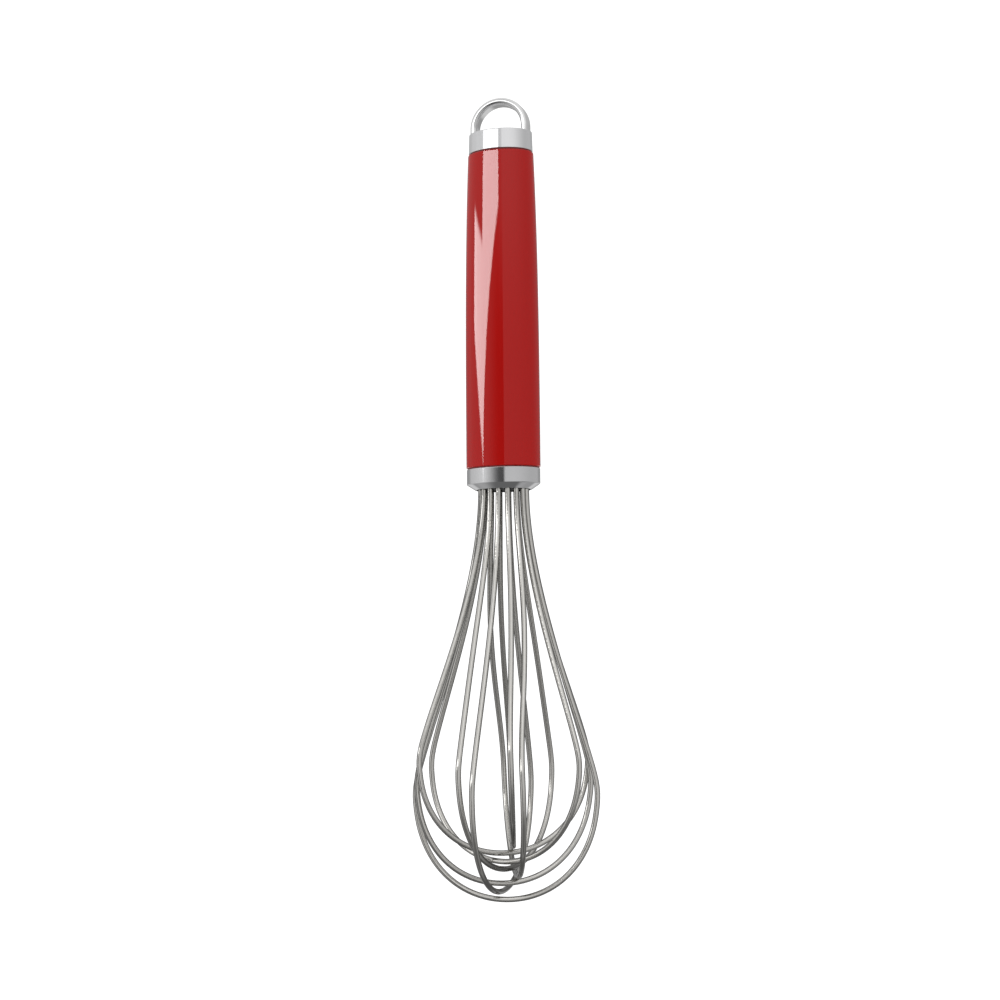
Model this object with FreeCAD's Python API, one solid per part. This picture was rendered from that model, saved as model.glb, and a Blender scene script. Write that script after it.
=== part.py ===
import FreeCAD, Part
import math
import os

# A balloon whisk: an oval moulded grip closed by two steel ends, a fixed hanging loop
# at the top and a cage of bent wire loops at the bottom.
#
# Frame: the origin is the point under the crown of the hanging loop where a hook bears.
# +Z is up along the grip, so the whisk hangs below the origin. X runs along the wide axis
# of the oval grip and Y through its depth. All sizes are in millimetres.

Vector = FreeCAD.Vector

# ---------------------------------------------------------------- driving dimensions

DEPTH_RATIO = 0.70          # depth over width of every outer oval

# Hanging loop: a flat strap bent to a half circle on two short straight legs.
LOOP_INNER_R = 8.4
LOOP_THICK = 2.6            # in the plane of the loop
LOOP_DEPTH = 5.4            # across the plane of the loop
LOOP_EDGE_R = 1.15
LOOP_LEG_RISE = 2.0         # straight leg between the end cap and the crown
TAB_THICK = 1.5             # the reduced foot of each leg, inside the handle
TAB_DEPTH = 3.6
TAB_LENGTH = 12.0

# End cap: a shallow drawn cup over the top of the grip.
CAP_HEIGHT = 7.5
CAP_TOP_HALF_WIDTH = 11.8
CAP_RIM_HALF_WIDTH = 12.0
CAP_WALL = 0.6
CAP_TOP_THICK = 0.9
CAP_EDGE_R = 0.5

# Grip: nearly straight sides that draw in towards the top.
GRIP_LENGTH = 116.2
GRIP_BOTTOM_HALF_WIDTH = 13.7
GRIP_TOP_HALF_WIDTH = 12.25
GRIP_TAPER_POWER = 3.2      # how late the grip narrows towards the top
GRIP_SECTIONS = 12
GRIP_EDGE_R = 0.35
BORE_TOP = (10.4, 7.0)      # half width and half depth of the hollow, with mould draft
BORE_BOTTOM = (11.0, 7.8)
TOP_SPIGOT_LENGTH = 4.0
BOTTOM_SPIGOT_LENGTH = 3.0

# Soft rings between the grip and the two steel ends.
SEAL_THICK = 0.45
SEAL_INSET = 0.35

# Ferrule: a drawn collar whose lower edge turns in to an oval mouth.
FERRULE_HEIGHT = 7.5
FERRULE_HALF_WIDTH = 13.55
FERRULE_WALL = 0.7
SHOULDER_EDGE_R = 0.5
RIM_EDGE_R = 0.25
CHAMFER_HEIGHT = 2.0
MOUTH_OPENING = (9.9, 7.6)
MOUTH_LIP = 0.5             # rim width around the opening
MOUTH_LIP_HEIGHT = 0.35

# Wires: nested loops of one gauge, each with its two ends in opposite bores.
WIRE_D = 2.0
RING = (8.5, 6.2)           # half width and half depth of the oval ring of bores
CAGE_HALF_WIDTH = 32.3      # centre line of every loop, at its belly
LONGEST_REACH = 145.0       # centre line of the longest loop, below the mouth
REACH_STEP = 2.65           # each loop in the nest is this much shorter than the last
BELLY_AT = 0.742            # fraction of the reach where a loop is widest
SHOULDER_START = 0.39       # curve handles, as fractions of the height or half width
SHOULDER_END = 0.115
BELLY_HANDLE = 0.65
POLE_HANDLE = 0.53
LEAN_POWER = 1.5            # a loop's sideways lean grows with this power of the depth
CURVE_STEPS = 12            # round sections on each of the four curved stretches of a loop

# One entry per pair of opposite bores, going round the ring from the wide axis:
# place in the nest (0 is the longest), direction of the belly in degrees from +X,
# and how far the bottom of the loop leans out of its own plane.
LOOPS = [
    (0, 12.5, -1.5),
    (2, 34.5, 2.0),
    (6, 39.5, 1.5),
    (4, 76.5, -0.5),
    (1, 88.5, 2.0),
    (7, 107.5, -2.3),
    (3, 113.0, -3.7),
    (5, 161.5, 2.5),
]

# Inside the handle.
FIT_GAP = 0.05              # between parts that are pressed or bonded together
BORE_GAP = 0.02             # around a wire or pin in its bore
RESIN_LENGTH = 20.0
SPACER_THICK = 2.0
WIRE_END_RISE = 2.0         # how far the wire ends stand above the spacer
PLUG_LENGTH = 12.6
PIN_D = 2.0

# ---------------------------------------------------------------- derived heights

LOOP_OUTER_R = LOOP_INNER_R + LOOP_THICK
Z_CROWN_CENTRE = -LOOP_INNER_R
Z_CAP_TOP = Z_CROWN_CENTRE - LOOP_LEG_RISE
Z_CAP_RIM = Z_CAP_TOP - CAP_HEIGHT
Z_GRIP_TOP = Z_CAP_RIM - SEAL_THICK
Z_FERRULE_RIM = Z_CAP_RIM - GRIP_LENGTH
Z_GRIP_BOTTOM = Z_FERRULE_RIM + SEAL_THICK
Z_MOUTH = Z_FERRULE_RIM - FERRULE_HEIGHT
Z_CHAMFER = Z_MOUTH + CHAMFER_HEIGHT
Z_TOP_SPIGOT_END = Z_CAP_RIM + TOP_SPIGOT_LENGTH
Z_BOTTOM_SPIGOT_END = Z_FERRULE_RIM - BOTTOM_SPIGOT_LENGTH
Z_HOLDER_TOP = Z_BOTTOM_SPIGOT_END - FIT_GAP
Z_RESIN_BOTTOM = Z_HOLDER_TOP + FIT_GAP
Z_RESIN_TOP = Z_RESIN_BOTTOM + RESIN_LENGTH
Z_SPACER_TOP = Z_RESIN_TOP + FIT_GAP + SPACER_THICK
Z_WIRE_END = Z_SPACER_TOP + WIRE_END_RISE
Z_PLUG_TOP = Z_CAP_TOP - CAP_TOP_THICK - FIT_GAP
Z_PLUG_SHOULDER = Z_TOP_SPIGOT_END + FIT_GAP
Z_PLUG_BOTTOM = Z_PLUG_TOP - PLUG_LENGTH
Z_PIN = Z_CAP_TOP - TAB_LENGTH + 2.0 * PIN_D


# ---------------------------------------------------------------- oval building blocks

def outer_oval(half_width):
    """Half width and half depth of an outer oval."""
    return (half_width, half_width * DEPTH_RATIO)


def grown(oval, amount):
    """The same oval with both half axes made larger, or smaller if amount is negative."""
    return (oval[0] + amount, oval[1] + amount)


def oval_wire(oval, z):
    """A closed ellipse at height z, wide axis along X."""
    return Part.Wire(Part.Ellipse(Vector(0, 0, z), oval[0], oval[1]).toShape())


def oval_stack(sections, ruled):
    """A solid through (height, oval) sections, straight or smooth between them."""
    wires = [oval_wire(oval, z) for z, oval in sections]
    return Part.makeLoft(wires, True, ruled)


def oval_prism(oval, z_low, z_high):
    """A straight oval bar."""
    return oval_stack([(z_low, oval), (z_high, oval)], True)


def round_edges(solid, z, radius, beyond):
    """Round the level edges at height z that reach further out along X than beyond."""
    tolerance = 1e-3
    chosen = []
    for edge in solid.Edges:
        box = edge.BoundBox
        level = abs(box.ZMin - z) < tolerance and abs(box.ZMax - z) < tolerance
        if level and box.XMax > beyond:
            chosen.append(edge)
    return solid.makeFillet(radius, chosen)


def bore_at(share):
    """The grip's hollow at a share of the way from its lower to its upper end."""
    width = BORE_BOTTOM[0] + share * (BORE_TOP[0] - BORE_BOTTOM[0])
    depth = BORE_BOTTOM[1] + share * (BORE_TOP[1] - BORE_BOTTOM[1])
    return (width, depth)


def bore_at_height(z):
    """The grip's hollow at height z."""
    return bore_at((z - Z_BOTTOM_SPIGOT_END) / (Z_TOP_SPIGOT_END - Z_BOTTOM_SPIGOT_END))


def bore_filler(z_low, z_high, gap):
    """A bar that fills the grip's hollow between two heights, less a gap."""
    low = grown(bore_at_height(z_low), -gap)
    high = grown(bore_at_height(z_high), -gap)
    return oval_stack([(z_low, low), (z_high, high)], True)


# ---------------------------------------------------------------- handle

CAP_RIM_INNER = grown(outer_oval(CAP_RIM_HALF_WIDTH), -CAP_WALL)
CAP_TOP_INNER = grown(outer_oval(CAP_TOP_HALF_WIDTH), -CAP_WALL)
TOP_SPIGOT = grown(CAP_TOP_INNER, -FIT_GAP)
FERRULE_INNER = grown(outer_oval(FERRULE_HALF_WIDTH), -FERRULE_WALL)
BOTTOM_SPIGOT = grown(FERRULE_INNER, -FIT_GAP)
TAB_X = LOOP_INNER_R + TAB_THICK / 2


def grip_half_width(share):
    """Half width of the grip at a share of its length from the bottom."""
    narrowing = GRIP_BOTTOM_HALF_WIDTH - GRIP_TOP_HALF_WIDTH
    return GRIP_BOTTOM_HALF_WIDTH - narrowing * share ** GRIP_TAPER_POWER


def make_grip():
    """The hollow moulded grip with a spigot at each end."""
    sections = []
    for i in range(GRIP_SECTIONS):
        share = i / (GRIP_SECTIONS - 1)
        z = Z_GRIP_BOTTOM + share * (Z_GRIP_TOP - Z_GRIP_BOTTOM)
        sections.append((z, outer_oval(grip_half_width(share))))
    barrel = oval_stack(sections, False)
    barrel = round_edges(barrel, Z_GRIP_TOP, GRIP_EDGE_R, 0)
    barrel = round_edges(barrel, Z_GRIP_BOTTOM, GRIP_EDGE_R, 0)
    overlap = 1.0
    top_spigot = oval_prism(TOP_SPIGOT, Z_GRIP_TOP - overlap, Z_TOP_SPIGOT_END)
    bottom_spigot = oval_prism(BOTTOM_SPIGOT, Z_BOTTOM_SPIGOT_END, Z_GRIP_BOTTOM + overlap)
    body = barrel.fuse([top_spigot, bottom_spigot])
    hollow = oval_stack([(Z_BOTTOM_SPIGOT_END, BORE_BOTTOM), (Z_TOP_SPIGOT_END, BORE_TOP)], True)
    return body.cut(hollow)


def make_seal(z_low, spigot, half_width):
    """A flat soft ring around a spigot, set back from the surface."""
    ring = oval_prism(grown(outer_oval(half_width), -SEAL_INSET), z_low, z_low + SEAL_THICK)
    return ring.cut(oval_prism(grown(spigot, FIT_GAP), z_low, z_low + SEAL_THICK))


def make_end_cap():
    """The drawn cup, with a slot for each foot of the hanging loop."""
    cup = oval_stack([(Z_CAP_RIM, outer_oval(CAP_RIM_HALF_WIDTH)),
                      (Z_CAP_TOP, outer_oval(CAP_TOP_HALF_WIDTH))], True)
    cup = round_edges(cup, Z_CAP_TOP, CAP_EDGE_R, 0)
    cup = round_edges(cup, Z_CAP_RIM, RIM_EDGE_R, 0)
    hollow = oval_stack([(Z_CAP_RIM, CAP_RIM_INNER),
                         (Z_CAP_TOP - CAP_TOP_THICK, CAP_TOP_INNER)], True)
    cup = cup.cut(hollow)
    for side in (-1, 1):
        cup = cup.cut(tab_block(side, FIT_GAP))
    return cup


def tab_block(side, gap):
    """The foot of one leg of the loop, or the slot around it when gap is positive."""
    block = Part.makeBox(TAB_THICK + 2 * gap, TAB_DEPTH + 2 * gap, TAB_LENGTH + gap)
    block.translate(Vector(side * TAB_X - TAB_THICK / 2 - gap, -TAB_DEPTH / 2 - gap,
                           Z_CAP_TOP - TAB_LENGTH - gap))
    return block


def make_hanging_loop():
    """The bent strap with rounded edges, its two feet pierced for the cross pin."""
    def arch(radius):
        left = Vector(-radius, 0, Z_CROWN_CENTRE)
        right = Vector(radius, 0, Z_CROWN_CENTRE)
        crown = Vector(0, 0, Z_CROWN_CENTRE + radius)
        return left, crown, right

    outer_left, outer_crown, outer_right = arch(LOOP_OUTER_R)
    inner_left, inner_crown, inner_right = arch(LOOP_INNER_R)

    def at_foot(point):
        return Vector(point.x, 0, Z_CAP_TOP)

    outline = Part.Wire([
        Part.LineSegment(at_foot(outer_left), outer_left).toShape(),
        Part.Arc(outer_left, outer_crown, outer_right).toShape(),
        Part.LineSegment(outer_right, at_foot(outer_right)).toShape(),
        Part.LineSegment(at_foot(outer_right), at_foot(inner_right)).toShape(),
        Part.LineSegment(at_foot(inner_right), inner_right).toShape(),
        Part.Arc(inner_right, inner_crown, inner_left).toShape(),
        Part.LineSegment(inner_left, at_foot(inner_left)).toShape(),
        Part.LineSegment(at_foot(inner_left), at_foot(outer_left)).toShape(),
    ])
    strap = Part.Face(outline).extrude(Vector(0, LOOP_DEPTH, 0))
    strap.translate(Vector(0, -LOOP_DEPTH / 2, 0))
    long_edges = [edge for edge in strap.Edges
                  if edge.BoundBox.YLength < 1e-3 and edge.BoundBox.ZLength > 1.0]
    strap = strap.makeFillet(LOOP_EDGE_R, long_edges)
    loop = strap.fuse([tab_block(-1, 0), tab_block(1, 0)])
    return loop.cut(pin_bar(PIN_D / 2 + BORE_GAP, LOOP_OUTER_R))


def pin_bar(radius, half_length):
    """A round bar along X at the height of the cross pin."""
    return Part.makeCylinder(radius, 2 * half_length, Vector(-half_length, 0, Z_PIN), Vector(1, 0, 0))


def make_loop_pin():
    """The pin through both feet of the loop, trapped by the wall of the grip."""
    half_length = bore_at_height(Z_PIN)[0] - 4 * FIT_GAP
    return pin_bar(PIN_D / 2, half_length)


def make_end_plug():
    """The moulded plug that fills the top of the grip and carries the loop and cap."""
    head = oval_prism(TOP_SPIGOT, Z_PLUG_SHOULDER, Z_PLUG_TOP)
    stem = bore_filler(Z_PLUG_BOTTOM, Z_TOP_SPIGOT_END, FIT_GAP)
    neck = oval_prism(grown(BORE_TOP, -FIT_GAP), Z_TOP_SPIGOT_END, Z_PLUG_SHOULDER)
    plug = head.fuse([stem, neck])
    for side in (-1, 1):
        plug = plug.cut(tab_block(side, FIT_GAP))
    return plug.cut(pin_bar(PIN_D / 2 + BORE_GAP, BORE_BOTTOM[0]))


def make_ferrule():
    """The lower steel collar with its turned-in mouth."""
    rim = outer_oval(FERRULE_HALF_WIDTH)
    skin = oval_stack([(Z_MOUTH, grown(MOUTH_OPENING, MOUTH_LIP)), (Z_CHAMFER, rim),
                       (Z_FERRULE_RIM, rim)], True)
    skin = round_edges(skin, Z_CHAMFER, SHOULDER_EDGE_R, 0)
    skin = round_edges(skin, Z_FERRULE_RIM, RIM_EDGE_R, 0)
    z_lip = Z_MOUTH + MOUTH_LIP_HEIGHT
    hollow = oval_stack([(Z_MOUTH, MOUTH_OPENING), (z_lip, MOUTH_OPENING),
                         (Z_CHAMFER + MOUTH_LIP_HEIGHT, FERRULE_INNER),
                         (Z_FERRULE_RIM, FERRULE_INNER)], True)
    return skin.cut(hollow)


# ---------------------------------------------------------------- wires and what holds them

def ring_point(step):
    """Centre of a bore, counted in sixteenths of a turn from +X around the oval ring."""
    turn = step * math.pi / len(LOOPS)
    return Vector(RING[0] * math.cos(turn), RING[1] * math.sin(turn), Z_MOUTH)


def wire_bores(z_low, z_high):
    """All the bores for the wire ends between two heights."""
    radius = WIRE_D / 2 + BORE_GAP
    bores = []
    for step in range(2 * len(LOOPS)):
        centre = ring_point(step)
        foot = Vector(centre.x, centre.y, z_low)
        bores.append(Part.makeCylinder(radius, z_high - z_low, foot))
    return bores


def make_wire_holder():
    """The puck inside the ferrule that spaces the wires round the mouth."""
    low = grown(MOUTH_OPENING, -FIT_GAP)
    wide = BOTTOM_SPIGOT
    z_low = Z_MOUTH + MOUTH_LIP_HEIGHT + 2 * FIT_GAP
    z_shoulder = Z_CHAMFER + MOUTH_LIP_HEIGHT + 2 * FIT_GAP
    puck = oval_stack([(z_low, low), (z_shoulder, wide), (Z_HOLDER_TOP, wide)], True)
    return puck.cut(wire_bores(z_low, Z_HOLDER_TOP))


def make_resin():
    """The cast block that locks the wire ends into the grip."""
    block = bore_filler(Z_RESIN_BOTTOM, Z_RESIN_TOP, BORE_GAP)
    return block.cut(wire_bores(Z_RESIN_BOTTOM, Z_RESIN_TOP))


def make_wire_spacer():
    """The upper plate that keeps the wire ends parallel and stops the resin rising."""
    z_low = Z_RESIN_TOP + FIT_GAP
    plate = bore_filler(z_low, Z_SPACER_TOP, FIT_GAP)
    return plate.cut(wire_bores(z_low, Z_SPACER_TOP))


def cubic(start, handle_1, handle_2, end, t):
    """A point on a cubic Bezier curve, for (radius, depth) pairs."""
    weights = ((1 - t) ** 3, 3 * (1 - t) ** 2 * t, 3 * (1 - t) * t ** 2, t ** 3)
    points = (start, handle_1, handle_2, end)
    return tuple(sum(w * p[axis] for w, p in zip(weights, points)) for axis in (0, 1))


def leg_outline(start_radius, reach):
    """Radius and depth below the mouth along one leg, from its bore to the pole."""
    belly_depth = BELLY_AT * reach
    below = reach - belly_depth
    start = (start_radius, 0)
    belly = (CAGE_HALF_WIDTH, belly_depth)
    pole = (0, reach)
    outline = []
    for i in range(CURVE_STEPS):
        outline.append(cubic(start, (start_radius, SHOULDER_START * belly_depth),
                             (CAGE_HALF_WIDTH, (1 - SHOULDER_END) * belly_depth),
                             belly, i / CURVE_STEPS))
    for i in range(CURVE_STEPS + 1):
        outline.append(cubic(belly, (CAGE_HALF_WIDTH, belly_depth + BELLY_HANDLE * below),
                             (POLE_HANDLE * CAGE_HALF_WIDTH, reach), pole, i / CURVE_STEPS))
    return outline


def leg_points(bore, belly_angle, reach, lean):
    """Points in space along one leg: it swings from its bore's direction to the belly's."""
    bore_angle = math.atan2(bore.y, bore.x)
    swing = math.remainder(belly_angle - bore_angle, 2 * math.pi)
    points = []
    for radius, depth in leg_outline(math.hypot(bore.x, bore.y), reach):
        share = min(depth / (BELLY_AT * reach), 1)
        angle = bore_angle + swing * share ** 2 * (3 - 2 * share)
        drift = lean * (depth / reach) ** LEAN_POWER
        points.append(Vector(radius * math.cos(angle) - drift * math.sin(belly_angle),
                             radius * math.sin(angle) + drift * math.cos(belly_angle),
                             Z_MOUTH - depth))
    return points


def tube_through(centres):
    """A round wire through centre points that starts straight down and ends straight up.

    Eight corners of a square and the first one again are the poles of an exact circle. They
    are carried from point to point without twisting, and each leaves a smooth rail.
    """
    corners = [(1, 0), (1, 1), (0, 1), (-1, 1), (-1, 0), (-1, -1), (0, -1), (1, -1), (1, 0)]
    corner_weights = [1 if 0 in corner else math.sqrt(0.5) for corner in corners]
    radius = WIRE_D / 2
    steps = [after - before for before, after in zip(centres, centres[1:])]
    lengths = [step.Length for step in steps]
    places = [sum(lengths[:i]) for i in range(len(centres))]
    for step in steps:
        step.normalize()
    directions = [before + after for before, after in zip(steps, steps[1:])]
    directions = [Vector(0, 0, -1)] + directions + [Vector(0, 0, 1)]
    seam = Vector(1, 0, 0)
    rails = [[] for corner in corners]
    for centre, direction in zip(centres, directions):
        direction.normalize()
        seam = seam - direction * seam.dot(direction)
        seam.normalize()
        side = direction.cross(seam)
        for rail, (along, across) in zip(rails, corners):
            rail.append(centre + seam * (radius * along) + side * (radius * across))
    poles = []
    for rail in rails:
        smooth = Part.BSplineCurve()
        smooth.interpolate(Points=rail, Parameters=places)
        poles.append(smooth.getPoles())
    weights = [[weight] * len(poles[0]) for weight in corner_weights]
    skin = Part.BSplineSurface()
    skin.buildFromPolesMultsKnots(poles, [3, 2, 2, 2, 3], smooth.getMultiplicities(),
                                  [0, 1, 2, 3, 4], smooth.getKnots(), False, False,
                                  2, smooth.Degree, weights)
    side_face = skin.toShape()
    ends = [edge for edge in side_face.Edges if edge.BoundBox.ZLength < 1e-3]
    discs = [Part.Face(Part.Wire(edge)) for edge in ends]
    shell = Part.makeShell([side_face] + discs)
    shell.sewShape()
    return Part.makeSolid(shell)


def make_wire_loop(step, nest_place, belly_degrees, lean):
    """One wire: up out of a bore, round the cage and back into the opposite bore."""
    reach = LONGEST_REACH - REACH_STEP * nest_place
    belly_angle = math.radians(belly_degrees)
    bores = (ring_point(step), ring_point(step + len(LOOPS)))
    down = leg_points(bores[0], belly_angle, reach, lean)
    up = leg_points(bores[1], belly_angle + math.pi, reach, -lean)
    up.reverse()
    wire = tube_through(down + up[1:])
    for bore in bores:
        wire = wire.fuse(Part.makeCylinder(WIRE_D / 2, Z_WIRE_END - Z_MOUTH, bore))
    return wire


# ---------------------------------------------------------------- write every piece

def make_all():
    """Every separate piece of the whisk, by name."""
    pieces = {
        "hanging_loop": make_hanging_loop(),
        "loop_pin": make_loop_pin(),
        "end_cap": make_end_cap(),
        "end_plug": make_end_plug(),
        "upper_seal": make_seal(Z_GRIP_TOP, TOP_SPIGOT, CAP_RIM_HALF_WIDTH),
        "grip": make_grip(),
        "lower_seal": make_seal(Z_FERRULE_RIM, BOTTOM_SPIGOT, FERRULE_HALF_WIDTH),
        "ferrule": make_ferrule(),
        "wire_holder": make_wire_holder(),
        "potting_resin": make_resin(),
        "wire_spacer": make_wire_spacer(),
    }
    for step, (nest_place, belly_degrees, lean) in enumerate(LOOPS):
        name = "wire_loop_%d" % (nest_place + 1)
        pieces[name] = make_wire_loop(step, nest_place, belly_degrees, lean)
    return pieces


os.makedirs("parts", exist_ok=True)
for node, shape in make_all().items():
    if len(shape.Solids) != 1 or not shape.isValid():
        raise ValueError("%s is not one sound solid" % node)
    shape.Solids[0].exportStep(os.path.join("parts", node + ".step"))
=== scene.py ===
import math

import bpy
from mathutils import Matrix, Vector


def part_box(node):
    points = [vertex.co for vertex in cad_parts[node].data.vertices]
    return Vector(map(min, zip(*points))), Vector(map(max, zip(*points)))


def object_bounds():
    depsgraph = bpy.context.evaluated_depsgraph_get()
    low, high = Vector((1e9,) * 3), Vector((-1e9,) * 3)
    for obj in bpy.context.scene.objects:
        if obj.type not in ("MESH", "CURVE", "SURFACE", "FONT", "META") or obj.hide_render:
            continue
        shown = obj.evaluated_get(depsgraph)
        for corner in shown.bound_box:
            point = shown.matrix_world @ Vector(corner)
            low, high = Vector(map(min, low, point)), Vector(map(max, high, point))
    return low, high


# Looks for a balloon whisk: a gloss red oval grip, satin and polished steel, drawn wire.
# Metres, in the CAD frame: origin under the crown of the hanging loop, +Z up along the grip.

# ---------------------------------------------------------------- driving values

MM = 0.001

# Camera.
VIEW_TURN = math.radians(17.5)      # it stands this far round from the flat front
VIEW_TILT = math.radians(5.5)       # and looks up by this much at the middle of the frame
VIEW_ROLL = math.radians(0.5)
VIEW_DISTANCE = 684 * MM            # from the ferrule's mouth
FRAME_HEIGHT = 360 * MM             # how much the frame covers at that distance
MOUTH_RIGHT = 1.3 * MM              # where the mouth's centre sits, from the frame's middle
MOUTH_UP = 3.6 * MM
SENSOR = 36                         # millimetres, as the camera takes them
NEAREST = 10 * MM

# Studio. Angles are in degrees: round from behind the camera, positive to its right, and up
# from level. A pair says where a soft change begins and ends.
BOX_CORNER = -64                    # the large light's lower corner hangs here
BOX_LOW = 6.6                       # at this height
BOX_LEFT_SLOPE = 0.165              # its edge rises this much for each degree to the left
BOX_BOW = 0.62                      # and by this power of the angle to the right
BOX_LEFT = -91                      # its upright sides and its top
BOX_RIGHT = -24
BOX_HIGH = 22
BOX_LOW_SOFT = 0.4                  # half the width over which each edge fades
BOX_LEFT_SOFT = 1.5
BOX_RIGHT_SOFT = 0.7
BOX_HIGH_SOFT = 1
CUT_LOW = 11.3                      # the cut in its upper left, as a line carried to angle 0
CUT_SLOPE = 0.05
CUT_SOFT = 1
STRIP_NEAR_SIDE = (130, 146)        # the two strips behind, one to each side
STRIP_FAR_SIDE = (156, 172)
STRIP_LOW = (-45, -35)
STRIP_HIGH = (-12, -4)
LEFT_WALL_END = (-62, -24)          # where the left wall fades into the gap
FAR_LEFT_TURN = (-110, -72)
RIGHT_WALL_START = -15.5
RIGHT_WALL_SOFT = 0.7
RIGHT_FADE = (0, 75)
GROUND_SIDE_TURN = (50, 100)        # to either side
GROUND_RISE = (-50, -4)
BEHIND_TURN = (108, 132)            # to either side
UPPER_SPLIT_SOFT = 5
UPPER_RISE = (10, 19)
CEILING_RISE = (30, 70)
EVEN_FADE = (-60, 90)

# Brightness of the surround.
BOX_POWER = 1.8                     # the large light, for rays off brushed surfaces
BOX_POWER_SHARP = 21                # and for mirror-sharp rays, off the clear gloss
STRIP_SHARE = 0.22                  # the strips behind, as a share of the large light
GAP = 0.08                          # between the large light and the right wall
LEFT_WALL = 0.66
FAR_LEFT_WALL = 0.58
RIGHT_WALL = 0.60
FAR_RIGHT_WALL = 0.48
GROUND = 0.14
GROUND_SIDE = 0.40
BEHIND = 0.34
UPPER_LEFT = 0.75
UPPER_RIGHT = 1.14
UPPER_FAR_RIGHT = 0.58
UPPER_SHARE = 0.6                   # how far the upper walls replace the walls
CEILING = 0.80
EVEN_LEFT = 1.0                     # the light that diffuse surfaces get
EVEN_RIGHT = 0.72
BACKDROP = 1.2                      # what the camera sees behind and below the whisk

# Colours and finish.
RED = (0.46, 0.0055, 0.0040, 1)
DEEPER_RED = (0.42, 0.0050, 0.0035, 1)
CLOUD_SHADE = 0.93                  # of a steel's colour in the clouds of its polish
PAINTED_RIM_SHADE_TURN = (0.12, 0.5)              # how far a surface faces away where the painted shade at its rim sets in
GRAIN_SHADE = 0.7                   # of a moulded colour in the dips of its grain
FLOOR_PALE = 0.90
FLOOR_SPECK = 0.88

# Sizes known from the design, for exact shading.
DEPTH_RATIO = 0.70                  # depth of the oval grip and fittings against their width
GRIP_NARROWING = 1.45 * MM
GRIP_TAPER_POWER = 3.2
CAP_NARROWING = 0.2
CAP_HEIGHT = 7.5
LOOP_INNER_R = 8.4 * MM
LOOP_HALF_THICK = 1.3 * MM
LOOP_HALF_DEPTH = 2.7 * MM
LOOP_EDGE_R = 1.15 * MM
SHARP_ANGLE = math.radians(32)      # mesh edges bent by more than this stay sharp
AGREEMENT = math.cos(math.radians(15))

FLOOR_DROP = 12 * MM                # the whisk hangs this far above the floor
FLOOR_SIZE = 6.0

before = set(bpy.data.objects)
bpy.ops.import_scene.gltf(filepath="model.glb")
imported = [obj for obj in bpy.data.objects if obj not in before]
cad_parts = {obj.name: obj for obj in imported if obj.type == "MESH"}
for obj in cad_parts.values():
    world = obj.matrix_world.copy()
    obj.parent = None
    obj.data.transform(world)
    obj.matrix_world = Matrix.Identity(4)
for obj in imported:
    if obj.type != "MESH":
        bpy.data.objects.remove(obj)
cad_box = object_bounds()
grip_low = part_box("lower_seal")[1].z
grip_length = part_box("upper_seal")[0].z - grip_low


# ---------------------------------------------------------------- node helpers

class Nodes:
    """Short ways to add and join nodes in one node tree."""

    def __init__(self, tree):
        self.tree = tree
        tree.nodes.clear()

    def add(self, kind, **values):
        """A node of a kind, with attributes set by name."""
        node = self.tree.nodes.new(kind)
        for name, value in values.items():
            setattr(node, name, value)
        return node

    def join(self, value, socket):
        """Links an output, or sets a plain value."""
        if hasattr(value, "links"):
            self.tree.links.new(value, socket)
        else:
            socket.default_value = value

    def math(self, operation, *values):
        """The result of a maths node."""
        node = self.add("ShaderNodeMath", operation=operation)
        for value, socket in zip(values, node.inputs):
            self.join(value, socket)
        return node.outputs[0]

    def times(self, a, b):
        """The product of two values."""
        return self.math("MULTIPLY", a, b)

    def without(self, a, b):
        """a where b is 0, fading to 0 where b is 1."""
        return self.math("SUBTRACT", a, self.times(a, b))

    def ramp(self, value, low, high, to_low=0.0, to_high=1.0):
        """A smooth step of value between low and high."""
        node = self.add("ShaderNodeMapRange", interpolation_type="SMOOTHSTEP")
        for given, name in ((value, "Value"), (low, "From Min"), (high, "From Max"),
                            (to_low, "To Min"), (to_high, "To Max")):
            self.join(given, node.inputs[name])
        return node.outputs["Result"]

    def mix(self, factor, a, b):
        """A mix of two colours: a where the factor is 0, b where it is 1."""
        node = self.add("ShaderNodeMix", data_type="RGBA")
        self.join(factor, node.inputs["Factor"])
        self.join(a, node.inputs["A"])
        self.join(b, node.inputs["B"])
        return node.outputs["Result"]

    def noise(self, vector, scale, detail=2.0, roughness=0.5):
        """A noise value from 0 to 1."""
        node = self.add("ShaderNodeTexNoise")
        self.join(vector, node.inputs["Vector"])
        for name, value in (("Scale", scale), ("Detail", detail), ("Roughness", roughness)):
            node.inputs[name].default_value = value
        return node.outputs["Fac"]

    def stretched(self, scale=(1, 1, 1)):
        """Object coordinates multiplied by three factors."""
        coords = self.add("ShaderNodeTexCoord")
        mapping = self.add("ShaderNodeMapping")
        self.join(coords.outputs["Object"], mapping.inputs["Vector"])
        mapping.inputs["Scale"].default_value = scale
        return mapping.outputs["Vector"]

    def bump(self, height, distance):
        """A bumped normal."""
        node = self.add("ShaderNodeBump")
        self.join(height, node.inputs["Height"])
        node.inputs["Distance"].default_value = distance
        return node.outputs["Normal"]

    def finish(self, shader, output_kind):
        """Joins a shader to the tree's output."""
        self.join(shader.outputs[0], self.add(output_kind).inputs["Surface"])

    def surface(self, **values):
        """The principled shader, as the material's surface. Names use _ for spaces."""
        shader = self.add("ShaderNodeBsdfPrincipled")
        for name, value in values.items():
            self.join(value, shader.inputs[name.replace("_", " ")])
        self.finish(shader, "ShaderNodeOutputMaterial")


def new_material(name):
    """An empty node material."""
    material = bpy.data.materials.new(name)
    material.use_nodes = True
    return material, Nodes(material.node_tree)


def grey(value):
    """A neutral colour."""
    return (value, value, value, 1.0)


def shaded(colour, share):
    """A colour times a share, still opaque."""
    return [share * channel for channel in colour[:3]] + [1]


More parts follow.
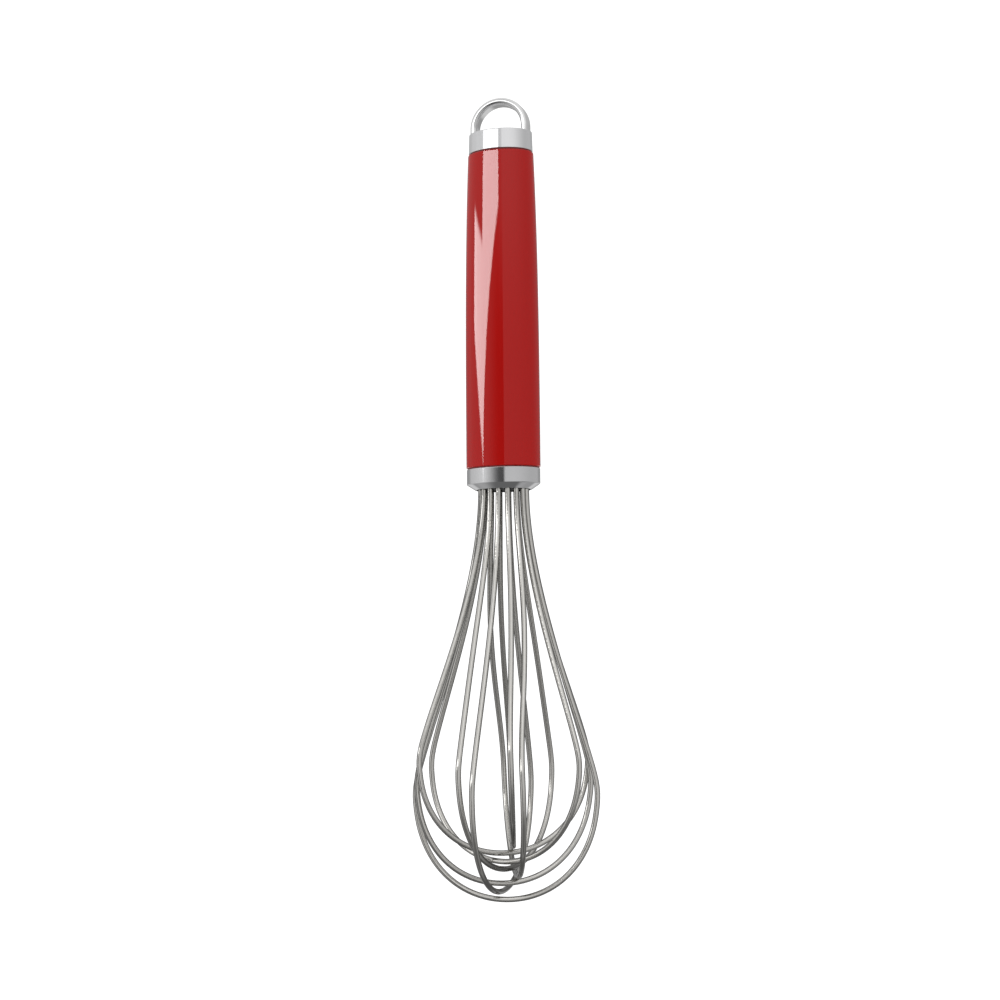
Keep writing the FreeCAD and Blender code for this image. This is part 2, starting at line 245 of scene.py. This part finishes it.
# ---------------------------------------------------------------- materials

def make_red_gloss():
    """Moulded ABS in deep red: a clear gloss over faint moulding ripple and fine scuffs."""
    material, n = new_material("red_gloss")
    place = n.stretched((1, 1, 0.25))
    scuffs = n.noise(n.stretched((1, 1, 0.15)), scale=1400, detail=4, roughness=0.7)
    ripple = n.bump(n.noise(place, scale=35, detail=1), 0.0008 * MM)
    n.surface(Base_Color=n.mix(n.noise(place, scale=60, detail=3), RED, DEEPER_RED),
              Roughness=n.ramp(scuffs, 0.55, 0.8, 0.035, 0.10), Specular_IOR_Level=0.12,
              Normal=ripple, Coat_Weight=0.45, Coat_Roughness=0.0, Coat_Normal=ripple)
    return material


def make_steel(name, tint, roughness, grain_scale, grain_stretch, grain_depth, painted_rim_shade=1.0):
    """Stainless steel with a directional grain and a cloudy polish.

    Towards the silhouette its colour turns to a share of the tint, given by the last argument:
    below 1 this is painted shade, standing in for the dark surroundings that thin wire reflects
    at its rim.
    """
    material, n = new_material(name)
    grain = n.noise(n.stretched(grain_stretch), grain_scale, detail=4, roughness=0.65)
    cloud = n.noise(n.stretched(), scale=120, detail=3)
    facing = n.add("ShaderNodeLayerWeight").outputs["Facing"]
    colour = n.mix(cloud, tint, shaded(tint, CLOUD_SHADE))
    brushed = n.ramp(grain, 0.3, 0.75, 0.75 * roughness, 1.25 * roughness)
    clouded = n.ramp(cloud, 0.4, 0.8, 0, 0.25 * roughness)
    # Towards the silhouette the colour is mixed to a share of the tint: painted rim shade where
    # that share is below 1.
    n.surface(Base_Color=n.mix(n.ramp(facing, *PAINTED_RIM_SHADE_TURN), colour, shaded(tint, painted_rim_shade)),
              Metallic=1.0, Roughness=n.math("ADD", brushed, clouded),
              Normal=n.bump(grain, grain_depth))
    return material


def make_moulded(name, colour, roughness):
    """Moulded nylon, rubber or resin for the hidden pieces: fine spark-eroded grain."""
    material, n = new_material(name)
    grain = n.noise(n.stretched(), scale=2600, detail=3, roughness=0.6)
    n.surface(Base_Color=n.mix(grain, colour, shaded(colour, GRAIN_SHADE)),
              Roughness=n.ramp(grain, 0.3, 0.8, roughness, roughness + 0.15),
              Normal=n.bump(grain, 0.02 * MM))
    return material


# ---------------------------------------------------------------- shading directions

def oval_outward(point, taper):
    """The outward direction on an upright oval whose half width shrinks upwards by taper."""
    half_width = math.hypot(point.x, point.y / DEPTH_RATIO)
    return Vector((point.x, point.y / DEPTH_RATIO ** 2, half_width * taper)).normalized()


def ferrule_outward(point):
    """The ferrule's wall is upright."""
    return oval_outward(point, 0)


def cap_outward(point):
    """The cap narrows evenly upwards."""
    return oval_outward(point, CAP_NARROWING / CAP_HEIGHT)


def grip_outward(point):
    """The grip narrows by a power of the height above its lower end."""
    share = min(max((point.z - grip_low) / grip_length, 0), 1)
    taper = GRIP_NARROWING * GRIP_TAPER_POWER * share ** (GRIP_TAPER_POWER - 1) / grip_length
    return oval_outward(point, taper)


def loop_outward(point):
    """The strap is a rounded rectangle carried round a half circle and down two legs."""
    radial = Vector((point.x, 0, max(point.z + LOOP_INNER_R, 0)))
    out = radial.length - LOOP_INNER_R - LOOP_HALF_THICK
    flat_out = LOOP_HALF_THICK - LOOP_EDGE_R
    flat_side = LOOP_HALF_DEPTH - LOOP_EDGE_R
    beyond_out = out - min(max(out, -flat_out), flat_out)
    beyond_side = point.y - min(max(point.y, -flat_side), flat_side)
    return (radial.normalized() * beyond_out + Vector((0, beyond_side, 0))).normalized()


# ---------------------------------------------------------------- dressing the pieces

def shade_smooth(node):
    """Smooth shading that breaks at sharp edges."""
    with bpy.context.temp_override(object=node, active_object=node):
        bpy.ops.mesh.customdata_custom_splitnormals_clear()
    node.data.shade_smooth()
    node.data.set_sharp_from_angle(angle=SHARP_ANGLE)


def shade_exactly(mesh, outward):
    """Shading by the exact outward direction at a point, wherever the mesh nearly agrees."""
    normals = [corner.vector.copy() for corner in mesh.corner_normals]
    for i, loop in enumerate(mesh.loops):
        exact = outward(mesh.vertices[loop.vertex_index].co)
        if exact.dot(normals[i]) > AGREEMENT:
            normals[i] = exact
    mesh.normals_split_custom_set(normals)


def dress(names, material, outward=None):
    """Gives CAD nodes a material and their shading."""
    for name in names:
        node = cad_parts[name]
        node.data.materials.clear()
        node.data.materials.append(material)
        shade_smooth(node)
        if outward is not None:
            shade_exactly(node.data, outward)


def dress_whisk():
    """Every piece of the whisk."""
    satin = make_steel("satin_steel", tint=(0.80, 0.80, 0.81, 1), roughness=0.10,
                       grain_scale=1100, grain_stretch=(1, 1, 0.05), grain_depth=0.0006 * MM)
    polished = make_steel("polished_steel", tint=(0.84, 0.84, 0.84, 1), roughness=0.07,
                          grain_scale=500, grain_stretch=(1, 1, 1), grain_depth=0.0004 * MM)
    # The drawn wire is darkened to 0.22 of its tint at its silhouette: painted shade for the
    # dark surroundings it reflects there.
    drawn = make_steel("drawn_wire", tint=(0.80, 0.785, 0.75, 1), roughness=0.09,
                       grain_scale=900, grain_stretch=(1, 1, 0.08), grain_depth=0.001 * MM,
                       painted_rim_shade=0.22)
    ground = make_steel("ground_pin", tint=(0.7, 0.7, 0.7, 1), roughness=0.2,
                        grain_scale=900, grain_stretch=(8, 1, 1), grain_depth=0.004 * MM)
    wires = sorted(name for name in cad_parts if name.startswith("wire_loop"))
    dress(["grip"], make_red_gloss(), grip_outward)
    dress(["end_cap"], satin, cap_outward)
    dress(["ferrule"], satin, ferrule_outward)
    dress(["hanging_loop"], polished, loop_outward)
    dress(wires, drawn)
    dress(["loop_pin"], ground)
    dress(["upper_seal", "lower_seal"],
          make_moulded("seal_rubber", (0.22, 0.020, 0.020, 1), 0.45))
    dress(["wire_holder"], make_moulded("holder_nylon", (0.05, 0.05, 0.05, 1), 0.5))
    dress(["wire_spacer", "end_plug"], make_moulded("black_nylon", (0.03, 0.03, 0.03, 1), 0.4))
    dress(["potting_resin"], make_moulded("cast_resin", (0.55, 0.42, 0.22, 1), 0.15))


# ---------------------------------------------------------------- floor

def make_floor():
    """A plain pale floor under the hanging whisk, which the camera sees as pure white."""
    bpy.ops.mesh.primitive_plane_add(size=FLOOR_SIZE, location=(0, 0, cad_box[0].z - FLOOR_DROP))
    floor = bpy.context.object
    floor.name = "floor"
    material, n = new_material("pale_floor")
    diffuse = n.add("ShaderNodeBsdfDiffuse")
    speck = n.noise(n.stretched(), scale=8, detail=3)
    n.join(n.mix(speck, grey(FLOOR_PALE), grey(FLOOR_SPECK)), diffuse.inputs["Color"])
    glow = n.add("ShaderNodeEmission")
    n.join(BACKDROP, glow.inputs["Strength"])
    blend = n.add("ShaderNodeMixShader")
    camera_ray = n.add("ShaderNodeLightPath").outputs["Is Camera Ray"]
    for value, socket in zip((camera_ray, diffuse.outputs[0], glow.outputs[0]), blend.inputs):
        n.join(value, socket)
    n.finish(blend, "ShaderNodeOutputMaterial")
    floor.data.materials.append(material)
    floor.visible_glossy = False


# ---------------------------------------------------------------- light

def studio_angles(n):
    """A ray's angle round from behind the camera and its angle above level."""
    turn = n.add("ShaderNodeMapping", vector_type="VECTOR")
    turn.inputs["Rotation"].default_value = (0, 0, -VIEW_TURN)
    n.join(n.add("ShaderNodeTexCoord").outputs["Generated"], turn.inputs["Vector"])
    parts = n.add("ShaderNodeSeparateXYZ")
    n.join(turn.outputs[0], parts.inputs[0])
    x, y, z = parts.outputs
    around = n.times(n.math("ARCTAN2", x, n.times(y, -1)), math.degrees(1))
    height = n.times(n.math("ARCSINE", z), math.degrees(1))
    return around, height


def left_of(n, around, angle, soft):
    """1 to the left of an upright edge, 0 to its right."""
    return n.ramp(around, angle - soft, angle + soft, 1, 0)


def above(n, height, edge):
    """1 above a slanting edge of the large light, 0 below it."""
    return n.ramp(n.math("SUBTRACT", height, edge), -BOX_LOW_SOFT, BOX_LOW_SOFT)


def large_light(n, around, height):
    """1 in the large light at the front left: one corner hangs down, and its lower edge runs
    straight up to the left and in a bow to the right. Its upper left side is cut away."""
    away = n.math("SUBTRACT", around, BOX_CORNER)
    bowed = n.math("POWER", n.math("MAXIMUM", away, 0), BOX_BOW)
    straight = n.times(n.math("MINIMUM", away, 0), -BOX_LEFT_SLOPE)
    lower_edge = n.math("ADD", n.math("ADD", bowed, straight), BOX_LOW)
    cut_edge = n.math("MULTIPLY_ADD", around, -CUT_SLOPE, CUT_LOW)
    cut = n.times(above(n, height, cut_edge), left_of(n, around, BOX_CORNER, CUT_SOFT))
    box = n.times(above(n, height, lower_edge), left_of(n, around, BOX_RIGHT, BOX_RIGHT_SOFT))
    box = n.without(box, left_of(n, around, BOX_LEFT, BOX_LEFT_SOFT))
    box = n.without(box, cut)
    return n.times(box, n.ramp(height, BOX_HIGH - BOX_HIGH_SOFT, BOX_HIGH + BOX_HIGH_SOFT, 1, 0))


def strips_behind(n, side, height):
    """Two soft strips, low behind the whisk, that light views from behind and above."""
    strip = n.times(n.ramp(side, *STRIP_NEAR_SIDE), n.ramp(side, *STRIP_FAR_SIDE, 1, 0))
    strip = n.times(strip, n.ramp(height, *STRIP_LOW, 0, STRIP_SHARE))
    return n.times(strip, n.ramp(height, *STRIP_HIGH, 1, 0))


def surround(n, around, side, height):
    """The walls, ground and ceiling: pale at the left, a dark gap by the camera, plain at the
    right, dark below, and paler above the whisk."""
    level = n.mix(n.ramp(around, *LEFT_WALL_END, 1, 0), grey(GAP), grey(LEFT_WALL))
    level = n.mix(n.ramp(around, *FAR_LEFT_TURN, 1, 0), level, grey(FAR_LEFT_WALL))
    right = n.mix(n.ramp(around, *RIGHT_FADE), grey(RIGHT_WALL), grey(FAR_RIGHT_WALL))
    level = n.mix(left_of(n, around, RIGHT_WALL_START, RIGHT_WALL_SOFT), right, level)
    ground = n.mix(n.ramp(side, *GROUND_SIDE_TURN), grey(GROUND), grey(GROUND_SIDE))
    level = n.mix(n.ramp(height, *GROUND_RISE), ground, level)
    level = n.mix(n.ramp(side, *BEHIND_TURN), level, grey(BEHIND))
    upper_right = n.mix(n.ramp(around, *RIGHT_FADE), grey(UPPER_RIGHT), grey(UPPER_FAR_RIGHT))
    upper = n.mix(left_of(n, around, BOX_RIGHT, UPPER_SPLIT_SOFT), upper_right, grey(UPPER_LEFT))
    level = n.mix(n.ramp(height, *UPPER_RISE, 0, UPPER_SHARE), level, upper)
    return n.mix(n.ramp(height, *CEILING_RISE), level, grey(CEILING))


def make_light():
    """A soft studio round the whisk. Diffuse surfaces get an even light, a little weaker from
    the right, and the camera sees pure white."""
    world = bpy.data.worlds.new("studio")
    bpy.context.scene.world = world
    world.use_nodes = True
    n = Nodes(world.node_tree)
    around, height = studio_angles(n)
    side = n.math("ABSOLUTE", around)
    ray = n.add("ShaderNodeLightPath").outputs
    lamps = n.math("MAXIMUM", large_light(n, around, height), strips_behind(n, side, height))
    power = n.mix(ray["Is Singular Ray"], grey(BOX_POWER), grey(BOX_POWER_SHARP))
    glossy = n.mix(lamps, surround(n, around, side, height), power)
    even = n.ramp(around, *EVEN_FADE, EVEN_LEFT, EVEN_RIGHT)
    lit = n.mix(ray["Is Diffuse Ray"], glossy, even)
    background = n.add("ShaderNodeBackground")
    n.join(n.mix(ray["Is Camera Ray"], lit, grey(BACKDROP)), background.inputs["Color"])
    n.finish(background, "ShaderNodeOutputWorld")


# ---------------------------------------------------------------- camera

def make_camera():
    """A camera in front of the whisk, below its middle and looking slightly up."""
    mouth = Vector((0, 0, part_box("ferrule")[0].z))
    right = Vector((math.cos(VIEW_TURN), math.sin(VIEW_TURN), 0))
    level = Vector((-math.sin(VIEW_TURN), math.cos(VIEW_TURN), 0))
    forward = level * math.cos(VIEW_TILT) + Vector((0, 0, math.sin(VIEW_TILT)))
    up = right.cross(forward)
    roll = Matrix.Rotation(VIEW_ROLL, 3, forward)
    right = roll @ right
    up = roll @ up
    place = mouth - forward * VIEW_DISTANCE - right * MOUTH_RIGHT - up * MOUTH_UP
    data = bpy.data.cameras.new("camera")
    data.sensor_width = SENSOR
    data.lens = SENSOR * VIEW_DISTANCE / FRAME_HEIGHT
    data.clip_start = NEAREST
    camera = bpy.data.objects.new("camera", data)
    turn = Matrix((right, up, -forward)).transposed()
    camera.matrix_world = Matrix.Translation(place) @ turn.to_4x4()
    bpy.context.scene.collection.objects.link(camera)
    bpy.context.scene.camera = camera


dress_whisk()
make_floor()
make_light()
make_camera()
bpy.context.scene.view_settings.view_transform = "Standard"
